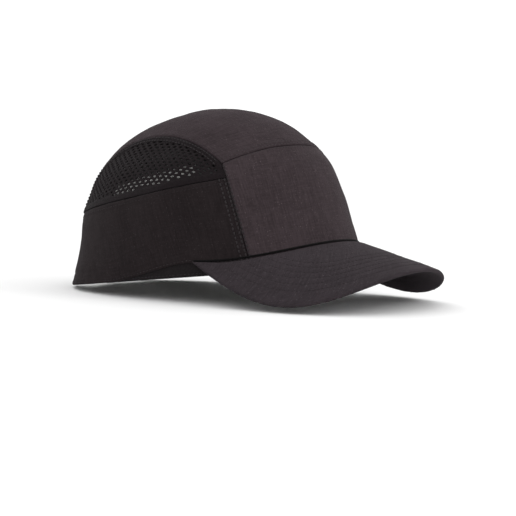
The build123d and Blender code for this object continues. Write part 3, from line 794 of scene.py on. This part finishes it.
def mesh_panel(side):
    middle = direction(98.0, 42.0)
    east = unit(np.cross([0.0, 0.0, 1.0], middle))
    north = np.cross(middle, east)
    lean = math.radians(-2.0)
    east, north = east * math.cos(lean) + north * math.sin(lean), north * math.cos(lean) - east * math.sin(lean)

    def way_of(flat):
        x, y = flat[..., 0] / 108.0, flat[..., 1] / 100.0
        turn = np.maximum(np.hypot(x, y), 1e-9)
        sideways = (east * x[..., None] + north * y[..., None]) * (np.sin(turn) / turn)[..., None]
        return middle * np.cos(turn)[..., None] + sideways

    centres, rim = hole_cells()
    inside = mesh_limits(way_of(centres))
    kept = np.min(inside, -1) > -2.2
    centres, inside = centres[kept], inside[kept]
    open_cell = (inside[:, 0] > 5.2) & (inside[:, 1] > 4.6) & (inside[:, 2] > 3.0)
    angles = np.arctan2(rim[:, 1] / HOLE_ROWS, rim[:, 0] / HOLE_PITCH)
    hole = np.stack([HOLE_HALF[0] * np.cos(angles), HOLE_HALF[1] * np.sin(angles)], 1)
    flat, faces, walls, keys = [], [], [], {}

    def corner(point):
        key = (round(point[0], 2), round(point[1], 2))
        if key not in keys:
            keys[key] = len(flat)
            flat.append(point)
        return keys[key]

    for centre, is_open in zip(centres, open_cell):
        outer = [corner(tuple(centre + r)) for r in rim]
        first = len(flat)
        flat.extend(tuple(centre + h) for h in hole)
        ring = list(range(first, first + 12))
        for k in range(12):
            faces.append((outer[k], outer[(k + 1) % 12], ring[(k + 1) % 12], ring[k]))
        if is_open:
            walls.extend((ring[k], ring[(k + 1) % 12]) for k in range(12))
        else:
            flat.append(tuple(centre))
            faces.extend((ring[k], ring[(k + 1) % 12], len(flat) - 1) for k in range(12))
    flat = np.array(flat)
    way = pull_inside(way_of(flat))
    limits = mesh_limits(way)
    way = way * ([-1.0, 1.0, 1.0] if side == "right" else [1.0, 1.0, 1.0])
    height = np.minimum.reduce([turned_edge(limits[:, k]) for k in range(3)])
    height = height + 0.45 * (1 - smooth(limits[:, 0], 3.8, 4.8)) + 0.4 * (1 - smooth(limits[:, 1], 3.6, 4.6))
    base = at_depth(way, 0.15)
    normal = crown_normal(way)
    height = height + 0.25 * ripple(base, 30.0)
    outer, inner = base + normal * height[:, None], base - normal * 0.75
    counts = {}
    for face in faces:
        for a, b in zip(face, face[1:] + face[:1]):
            counts[(min(a, b), max(a, b))] = counts.get((min(a, b), max(a, b)), 0) + 1
    hole_edges = {(min(a, b), max(a, b)) for a, b in walls}
    rim_edges = [e for e, n in counts.items() if n == 1 and e not in hole_edges]
    total = len(flat)
    skin = list(faces) + [tuple(i + total for i in face[::-1]) for face in faces]
    skin += [(a, b, b + total, a + total) for a, b in walls + rim_edges]
    name = f"mesh_panel_{side}"
    piece = add_mesh(name, np.concatenate([outer, inner]), skin, MESH, slot="mesh", uv=np.concatenate([flat, flat]))
    fine = piece.modifiers.new("round_holes", "SUBSURF")
    fine.levels = fine.render_levels = 1
    mirror = np.array([-1.0 if side == "right" else 1.0, 1.0, 1.0])
    for inset in (1.3, 3.4):
        stitch(*mesh_row(strip_side(inset), mirror), ROPE_THREAD, MESH_ROPE)


def strip_side(inset):
    """Directions beside the crown strip's edge, that far inside the mesh panel, in mm."""
    edge = strip_point(np.linspace(58.0, 146.0, 120), np.ones(120))
    return unit(edge + np.array([inset / 100.0, 0, -inset / 130.0]))


def mesh_row(way, mirror):
    keep = np.min(mesh_limits(way), -1) > 0.6
    way = way[keep] * mirror
    return at_depth(way, -0.3), crown_normal(way)


# ---- arch, straps ----
def way_at(x, z):
    """Direction to the point at the back of the crown with these X and Z in mm."""
    up = np.asarray(z, float) / CROWN_HEIGHT
    side = np.asarray(x, float) / HALF_WIDTH
    for _ in range(8):
        rear = np.sqrt(np.clip(1 - side**2 - up**2, 0, 1))
        swell = crown(np.stack([side, rear, up], -1))[..., 0] / np.where(np.abs(side) < 1e-9, 1, HALF_WIDTH * side)
        side = np.where(np.abs(side) < 1e-9, side, x / (HALF_WIDTH * swell))
    return np.stack([side, np.sqrt(np.clip(1 - side**2 - up**2, 0, 1)), up], -1)


def arch_binding():
    """Folded tape round the arch: it wraps the cloth's edge from outside to inside."""
    turn = np.linspace(0.0, math.pi, 150)
    profile = [(0.0, -0.55), (0.25, 0.2), (0.9, 0.5), (2.0, 0.55), (3.2, 0.5), (3.9, 0.25), (4.05, -0.2),
               (4.0, -1.2), (3.6, -1.65), (2.0, -1.75), (0.9, -1.7), (0.25, -1.3)]
    x, z = ARCH_HALF_WIDTH * np.cos(turn), ARCH_HEIGHT * np.sin(turn)
    way = way_at(x, z)
    edge, normal = at_depth(way, 0.0), crown_normal(way)
    along = unit(np.gradient(edge, axis=0))
    away = unit(np.cross(along, normal))
    outside = np.stack([x, np.zeros_like(x), z], -1)
    away = np.where(np.sum(away * outside, -1, keepdims=True) < 0, -away, away)
    points = np.stack([edge + away * w + normal * (n + 0.06 * np.sin(turn * 40 + w))[:, None] for w, n in profile], 1)
    count, around = points.shape[:2]
    k = np.arange(count * around).reshape(count, around)
    after = np.roll(k, -1, axis=1)
    faces = np.stack([k[:-1], k[1:], after[1:], after[:-1]], -1).reshape(-1, 4).tolist()
    faces += [k[0].tolist(), k[-1, ::-1].tolist()]
    uv = np.stack(np.broadcast_arrays(turn[:, None] * 39.0, np.arange(around) * 0.9), -1).reshape(-1, 2)
    piece = add_mesh("arch_binding", points.reshape(-1, 3), faces, BINDING, slot="binding_tape", uv=uv)
    piece.modifiers.new("round", "SUBSURF").render_levels = 1
    stitch(edge + away * 3.1 + normal * 0.55, normal, THREAD)


def strap_point(angle_deg, radius, z):
    turn = np.radians(angle_deg)
    return np.stack(np.broadcast_arrays(radius * np.sin(turn), STRAP_CENTRE_Y + radius * np.cos(turn), z), -1)


def strap(name, radii, span, low, high, material, slot, body="cap", corner=0.0, border=0.0, roll=0.35):
    """Flat strap along the strap's arc, with rounded corners and soft edges."""
    radius = sum(radii) / 2
    length = math.radians(span[1] - span[0]) * radius
    u, v = np.meshgrid(spaced(length, 1.2), spaced(high - low, 1.2), indexing="ij")
    distance = np.minimum(u, 1 - u) * length
    pulled = np.where(distance < corner, corner - np.sqrt(np.maximum(corner**2 - (corner - distance) ** 2, 0)), 0.0)
    z = (low + high) / 2 + (v - 0.5) * (high - low - 2 * pulled)
    angle = span[0] + (span[1] - span[0]) * u
    near = np.minimum(distance, np.minimum(v, 1 - v) * (high - low))
    soft = roll - np.sqrt(np.maximum(roll**2 - np.clip(roll - near, 0, roll) ** 2, 0))
    weave = 0.05 * np.sin(angle * 3.0) + 0.04 * np.sin(z * 2.6)
    outer = strap_point(angle, radii[1] - soft + weave - 0.09, z)
    inner = strap_point(angle, radii[0] + soft, z)
    add_closed(name, outer, inner, material, body=body, slot=slot)
    if border:
        t = np.linspace(0, 1, 90)
        ends = span[0] + math.degrees(border / radius), span[1] - math.degrees(border / radius)
        middle = (low + high) / 2
        paths = [(ends[0] + (ends[1] - ends[0]) * t, np.full(90, low + border)),
                 (ends[0] + (ends[1] - ends[0]) * t, np.full(90, high - border)),
                 (np.full(90, ends[0]), low + border + (high - low - 2 * border) * t),
                 (np.full(90, ends[1]), low + border + (high - low - 2 * border) * t)]
        for a, height in paths:
            facing = strap_point(a, 1.0, height) - [0, STRAP_CENTRE_Y, 0]
            facing[:, 2] = 0
            stitch(strap_point(a, radii[1] - 0.02, height), unit(facing), THREAD, body=body)


def make_straps():
    strap("hook_strap", (77.8, 79.0), (-8.0, 54.0), 3.0, 23.0, WEBBING, "hook_and_loop", "size_strap", 4.0, 1.8)
    strap("strap_pull_tab", (79.1, 79.9), (-8.0, -1.0), 7.0, 19.0, BINDING, "binding_tape", "size_strap", 1.5, 1.6)
    strap("loop_strap", (76.4, 77.6), (-50.0, 22.0), 3.0, 23.0, LOOPS, "hook_and_loop", "cap", 4.0)
    strap("strap_anchor", (77.7, 79.4), (-50.0, -38.0), 3.0, 23.0, SHADED_BAND_TWILL, "binding_tape", "cap", 1.0, 1.8)
    strap("strap_sleeve", (76.9, 77.5), (31.0, 76.0), 1.0, 25.5, TAPE, "binding_tape", "cap", 1.0, 1.5, 0.2)


# ---- visor ----
def visor_root(across):
    height = np.full(across.shape, VISOR_ROOT_HEIGHT)
    for _ in range(8):
        point = crown(direction(across * VISOR_ROOT_DEG, up_of(height)))
        height = visor_top(point[..., 0], point[..., 1])
    return point


def visor_plan(across, out):
    """Plan position from the crown, out = 0, to the visor's edge, out = 1."""
    root = visor_root(across)
    length = VISOR_LENGTH * np.clip(1 - np.abs(across) ** VISOR_TIP_POWER, 0, 1) ** (1 / VISOR_EDGE_POWER)
    spread = math.radians(VISOR_SPREAD_DEG) * across
    share = ROOT_GAP / np.maximum(length, 2 * ROOT_GAP)
    out = share + (1 - share) * out
    x = root[..., 0] + length * np.sin(spread) * out
    y = root[..., 1] - length * np.cos(spread) * out
    return x, y


def visor_normal(x):
    slope_x, slope_y = -x / np.sqrt(VISOR_RADIUS**2 - x**2), math.tan(VISOR_PITCH)
    return unit(np.stack([-slope_x, -slope_y * np.ones_like(x), np.ones_like(x)], -1))


def from_edge(x, y):
    """Distance in mm from the visor's outer edge, in plan."""
    across = np.linspace(-1, 1, 700)
    ex, ey = visor_plan(across, np.ones(700))
    flat = np.stack([x.ravel(), y.ravel()], 1)
    nearest = [np.min(np.hypot(ex - px, ey - py)) for px, py in flat]
    return np.array(nearest).reshape(x.shape)


def make_visor():
    across = 0.997 * np.sin(np.linspace(-math.pi / 2, math.pi / 2, 170))
    fine = np.array([0.0, 0.001, 0.003, 0.006, 0.01, 0.015, 0.022, 0.032, 0.046, 0.062, 0.08])
    out = np.concatenate([fine, np.linspace(0.1, 0.9, 44), 1 - fine[::-1]])
    a, t = np.meshgrid(across, out, indexing="ij")
    x, y = visor_plan(a, t)
    distance = from_edge(x, y)
    from_root = np.hypot(x - x[:, :1], y - y[:, :1])
    normal = visor_normal(x)
    half = VISOR_THICKNESS / 2
    middle = np.stack([x, y, visor_top(x, y)], -1) - normal * half
    near = np.clip(half - np.minimum(distance, from_root), 0, half)
    bulge = np.sqrt(np.maximum(half**2 - near**2, 0))
    rows = sum(0.16 * np.exp(-(((distance - row) / 0.5) ** 2)) for row in VISOR_ROWS)
    puff = 0.035 * np.cos((distance - VISOR_ROWS[0]) * 2 * math.pi / VISOR_ROW_STEP + math.pi)
    puff = puff * smooth(distance, 7, 10) * (1 - smooth(distance, VISOR_ROWS[-1], VISOR_ROWS[-1] + 3))
    sink = ROOT_SINK * (1 - smooth(from_root, 0, ROOT_SINK_WIDTH)) * smooth(distance, 2, 12)
    soft = 0.12 * ripple(middle, 26.0)
    top = middle + normal * (bulge - rows + puff + soft * (bulge / half) - sink)[..., None]
    under = middle - normal * (bulge - 0.8 * rows)[..., None]
    split = normal * 0.05 - normal * sink[..., None]
    add_closed("visor_top_cover", top, middle + split, VISOR_TWILL, slot="twill")
    add_closed("visor_under_cover", middle + split - normal * 0.1, under, VISOR_TWILL, slot="twill")
    add_visor_rows(top, under, normal, distance, middle)
    board_visual()
    visor_welt()


def visor_welt():
    """The rolled edge of cloth where the visor is sewn to the crown; its near-black colour is painted shade, standing
    in for the shadow line at the visor's root.
    """
    across = np.linspace(-WELT_REACH, WELT_REACH, 200)
    turn = across * VISOR_ROOT_DEG
    way = direction(turn, up_of(visor_root(across)[:, 2] + WELT_RISE))
    centre, normal = at_depth(way, -WELT_PROUD), crown_normal(way)
    upward = unit(np.cross(unit(np.gradient(centre, axis=0)), normal))
    sides = np.arange(10) * 2 * math.pi / 10
    radius = WELT_RADIUS * np.sqrt(np.clip(1 - (across / WELT_REACH) ** 40, 0.02, 1))[:, None, None]
    ring = np.cos(sides)[None, :, None] * normal[:, None, :] + np.sin(sides)[None, :, None] * upward[:, None, :]
    k = np.arange(200 * 10).reshape(200, 10)
    after = np.roll(k, -1, axis=1)
    faces = np.stack([k[:-1], k[1:], after[1:], after[:-1]], -1).reshape(-1, 4).tolist()
    faces += [k[0].tolist(), k[-1, ::-1].tolist()]
    uv = np.stack(np.broadcast_arrays(across[:, None] * 110.0, sides), -1).reshape(-1, 2)
    add_mesh("visor_welt", (centre[:, None, :] + ring * radius).reshape(-1, 3), faces, SHADOW_WELT, slot="binding_tape", uv=uv)


def add_visor_rows(top, under, normal, distance, middle):
    """Rings of stitches parallel to the visor's edge, above and below."""
    steps = np.arange(distance.shape[1])
    for row in VISOR_ROWS:
        top_path, under_path, facing = [], [], []
        for i in range(distance.shape[0]):
            column = distance[i]
            if column.max() < row + 1.0:
                continue
            peak = int(np.argmax(column))
            place = np.interp(-row, -column[peak:], steps[peak:])
            low = int(min(place, len(steps) - 2))
            t = place - low
            top_path.append(top[i, low] * (1 - t) + top[i, low + 1] * t)
            under_path.append(under[i, low] * (1 - t) + under[i, low + 1] * t)
            facing.append(normal[i, low])
        stitch(np.array(top_path), np.array(facing), DARK_THREAD)
        stitch(np.array(under_path), -np.array(facing), DARK_THREAD)


def board_visual():
    """The stiffener inside the visor, a little smaller than the cloth around it."""
    across = 0.93 * np.sin(np.linspace(-math.pi / 2, math.pi / 2, 60))
    a, t = np.meshgrid(across, np.linspace(0.05, 0.95, 16), indexing="ij")
    x, y = visor_plan(a, t)
    normal = visor_normal(x)
    middle = np.stack([x, y, visor_top(x, y)], -1) - normal * (VISOR_THICKNESS / 2)
    half = 0.6 * smooth(from_edge(x, y), 0.2, 2.0) + 0.1
    outer, inner = middle + normal * half[..., None], middle - normal * half[..., None]
    add_closed("visor_board", outer, inner, BOARD, slot="stiffener")


# ---- inside the cap ----
def squircle(u, v, amount):
    """Pulls in the corners of a unit square."""
    x, y = 2 * u - 1, 2 * v - 1
    return 0.5 + x * np.sqrt(1 - amount * y * y) / 2, 0.5 + y * np.sqrt(1 - amount * x * x) / 2


def pad_piece(name, region, size, material, slot, thickness=5.0, depth=5.5, channels=(), corner=0.12, crown_up=0.5):
    """A foam pad: flat against the shell, crowned towards the head, with pressed channels across it."""
    u, v = np.meshgrid(spaced(size[0], 2.0), spaced(size[1], 2.0), indexing="ij")
    way = region(*squircle(u, v, corner))
    base = at_depth(way, shell_depth(way, depth), False)
    normal = crown_normal(way, False)
    distances = edge_distances(base)
    near = np.minimum.reduce(list(distances.values()))
    radius = thickness * 0.46
    cut = np.clip(radius - near, 0, radius)
    rounding = radius - np.sqrt(np.maximum(radius**2 - cut**2, 0))
    swell = crown_up * smooth(near, 0, 12)
    lines = sum((0.28 * thickness) * np.exp(-(((u - place) * size[0] / 1.3) ** 2)) for place in channels)
    room = thickness - rounding - crown_up + swell - lines * smooth(near, 0, 4) + 0.08 * ripple(base, 14.0)
    outer = base - normal * (0.15 + 0.6 * rounding)[..., None]
    inner = base - normal * np.minimum(room, thickness - 0.05)[..., None]
    piece = add_closed(name, outer, inner, material, slot=slot)
    return piece


def pad_region(first, last, low, high):
    return lambda u, v: direction(first + (last - first) * u, low + (high - low) * v)


def crown_pad_region(u, v):
    over, side = np.radians(62 + 60 * u), 0.24 * (2 * v - 1)
    reach = np.sqrt(1 - side * side)
    return np.stack([side, -reach * np.cos(over), reach * np.sin(over)], -1)


def make_inside():
    thirds = (0.25, 0.5, 0.75)
    pad_piece("front_pad", pad_region(-38, 38, 18, 36), (118.0, 32.0), FOAM, "foam", channels=thirds)
    pad_piece("side_pad_left", pad_region(52, 125, 20, 42), (118.0, 38.0), FOAM, "foam", channels=thirds)
    pad_piece("side_pad_right", pad_region(-52, -125, 20, 42), (118.0, 38.0), FOAM, "foam", channels=thirds)
    pad_piece("rear_pad", pad_region(150, 210, 28, 46), (90.0, 32.0), FOAM, "foam", channels=(1 / 3, 2 / 3))
    pad_piece("crown_pad", crown_pad_region, (110.0, 44.0), FOAM, "foam", channels=thirds)
    pad_piece("sweatband", band_region(110.0, 2.0, 34.0), (360.0, 32.0), TOWELLING, "towelling", 2.4, corner=0.0,
              crown_up=0.3)
    for slot in frame["nodes"]["bump_shell"].material_slots:
        slot.material = PLASTIC
    facing_rows = {"v0": (2.0,), "v1": (2.0,)}
    # the hem facing's darker colour is painted shade under the hem
    sewn_sheet("hem_facing", band_region(112.0, 0.0, 28.0), (360.0, 28.0), 1.5, 0.95, SHADED_FACING, facing_rows,
               thread=DARK_THREAD, slot="binding_tape", soft=0.05)
    tapes = {"front_seam_tape": (front_tape_path, 130.0, 12.0), "side_seam_tape_left": (side_tape_path, 150.0, 12.0),
             "side_seam_tape_right": (lambda u: side_tape_path(u) * [-1.0, 1.0, 1.0], 150.0, 12.0),
             "rear_seam_allowance": (rear_seam_path, 190.0, 8.0), "back_seam_allowance": (back_seam_path, 10.0, 8.0)}
    for name, (path, length, width) in tapes.items():
        sewn_sheet(name, tape_region(path, width / 2), (length, width), 1.45, 0.45, TAPE, slot="binding_tape", soft=0.03)
    label = patch_region(62.0, 7.0, 24.0, 16.0)
    sewn_sheet("care_label", label, (24.0, 16.0), 2.55, 0.22, SATIN, slot="label", soft=0.02)
    places = {"front": (0.0, 31.0), "left": (90.0, 66.0), "rear": (180.0, 36.0), "right": (270.0, 66.0)}
    for side, place in places.items():
        region = patch_region(*place, 22.0, 14.0)
        for kind, depth, flared, material in (("loop", 1.35, True, LOOPS), ("hook", 2.3, False, HOOKS)):
            sewn_sheet(f"retainer_{kind}_{side}", region, (22.0, 14.0), depth, 0.7, material, flared=flared,
                       slot="hook_and_loop", soft=0.02)


# ---- camera, light and floor ----
CAMERA_DISTANCE, CAMERA_ROUND, CAMERA_UP, CAMERA_ROLL = 1295.0, -54.43, -2.23, -4.285
LENS, AIM_POINT = 120.07, (0.0, 0.0, 60.0)
AIM_SIDE_DEG, AIM_DOWN_DEG = 1.338, 2.123  # turns from the aim point to the middle of the picture


def make_camera():
    turn, up, roll = (math.radians(a) for a in (CAMERA_ROUND, CAMERA_UP, CAMERA_ROLL))
    back = np.array([math.sin(turn) * math.cos(up), -math.cos(turn) * math.cos(up), math.sin(up)])
    right = np.array([math.cos(turn), math.sin(turn), 0.0])
    above = np.cross(back, right)
    level = right * math.cos(roll) + above * math.sin(roll)
    above = above * math.cos(roll) - right * math.sin(roll)
    place = np.array(AIM_POINT) + back * CAMERA_DISTANCE
    ahead = -back + level * math.tan(math.radians(AIM_SIDE_DEG)) - above * math.tan(math.radians(AIM_DOWN_DEG))
    behind = -unit(ahead)
    level = unit(level - behind * (level @ behind))
    above = np.cross(behind, level)
    camera = bpy.data.objects.new("camera", bpy.data.cameras.new("camera"))
    camera.data.lens, camera.data.sensor_width = LENS, 36.0
    camera.data.clip_start, camera.data.clip_end = 0.05, 20.0
    axes = [Vector(turn_to_row(v)) for v in (level, above, behind)]
    camera.matrix_world = Matrix.Translation(Vector(to_row(place))) @ Matrix(axes).transposed().to_4x4()
    bpy.context.scene.collection.objects.link(camera)
    bpy.context.scene.camera = camera


def area_light(name, place, target, size, power, colour=(1, 1, 1)):
    light = bpy.data.lights.new(name, "AREA")
    light.shape, light.size, light.energy, light.color = "DISK", size, power, colour
    holder = bpy.data.objects.new(name, light)
    holder.location = place
    holder.rotation_euler = (Vector(target) - Vector(place)).to_track_quat("-Z", "Y").to_euler()
    bpy.context.scene.collection.objects.link(holder)


FLOOR_REACH, FLOOR_LEVEL = 40.0, -0.0005
SKY = 1.15


def make_studio():
    floor_mesh = bpy.data.meshes.new("floor")
    corners = [(x * FLOOR_REACH, y * FLOOR_REACH, FLOOR_LEVEL) for x, y in ((-1, -1), (1, -1), (1, 1), (-1, 1))]
    floor_mesh.from_pydata(corners, [], [(0, 1, 2, 3)])
    floor = bpy.data.objects.new("floor", floor_mesh)
    material, tree, shader = new_material("floor")
    place = add_node(tree, "ShaderNodeTexCoord").outputs["Object"]
    shade = mixed(tree, noise(tree, place, 4.0), (0.88, 0.88, 0.88), (0.93, 0.93, 0.93))
    tree.links.new(shade, shader.inputs["Base Color"])
    shader.inputs["Roughness"].default_value = 0.9
    floor_mesh.materials.append(material)
    bpy.context.scene.collection.objects.link(floor)
    world = bpy.data.worlds.new("studio")
    world.use_nodes = True
    world.node_tree.nodes["Background"].inputs["Color"].default_value = (1, 1, 1, 1)
    world.node_tree.nodes["Background"].inputs["Strength"].default_value = SKY
    bpy.context.scene.world = world
    bpy.context.scene.view_settings.view_transform = "Standard"
    centre = (0, 0, 0.07)
    area_light("key", (0.5, -1.5, 0.9), centre, 0.9, 6.0)
    area_light("fill", (-1.4, -0.9, 0.8), centre, 1.0, 1.0)
    area_light("rim", (0.5, 1.3, 1.0), centre, 0.8, 1.0)


make_camera()
make_studio()
make_panels()
arch_binding()
make_straps()
make_visor()
make_inside()
add_stitches()
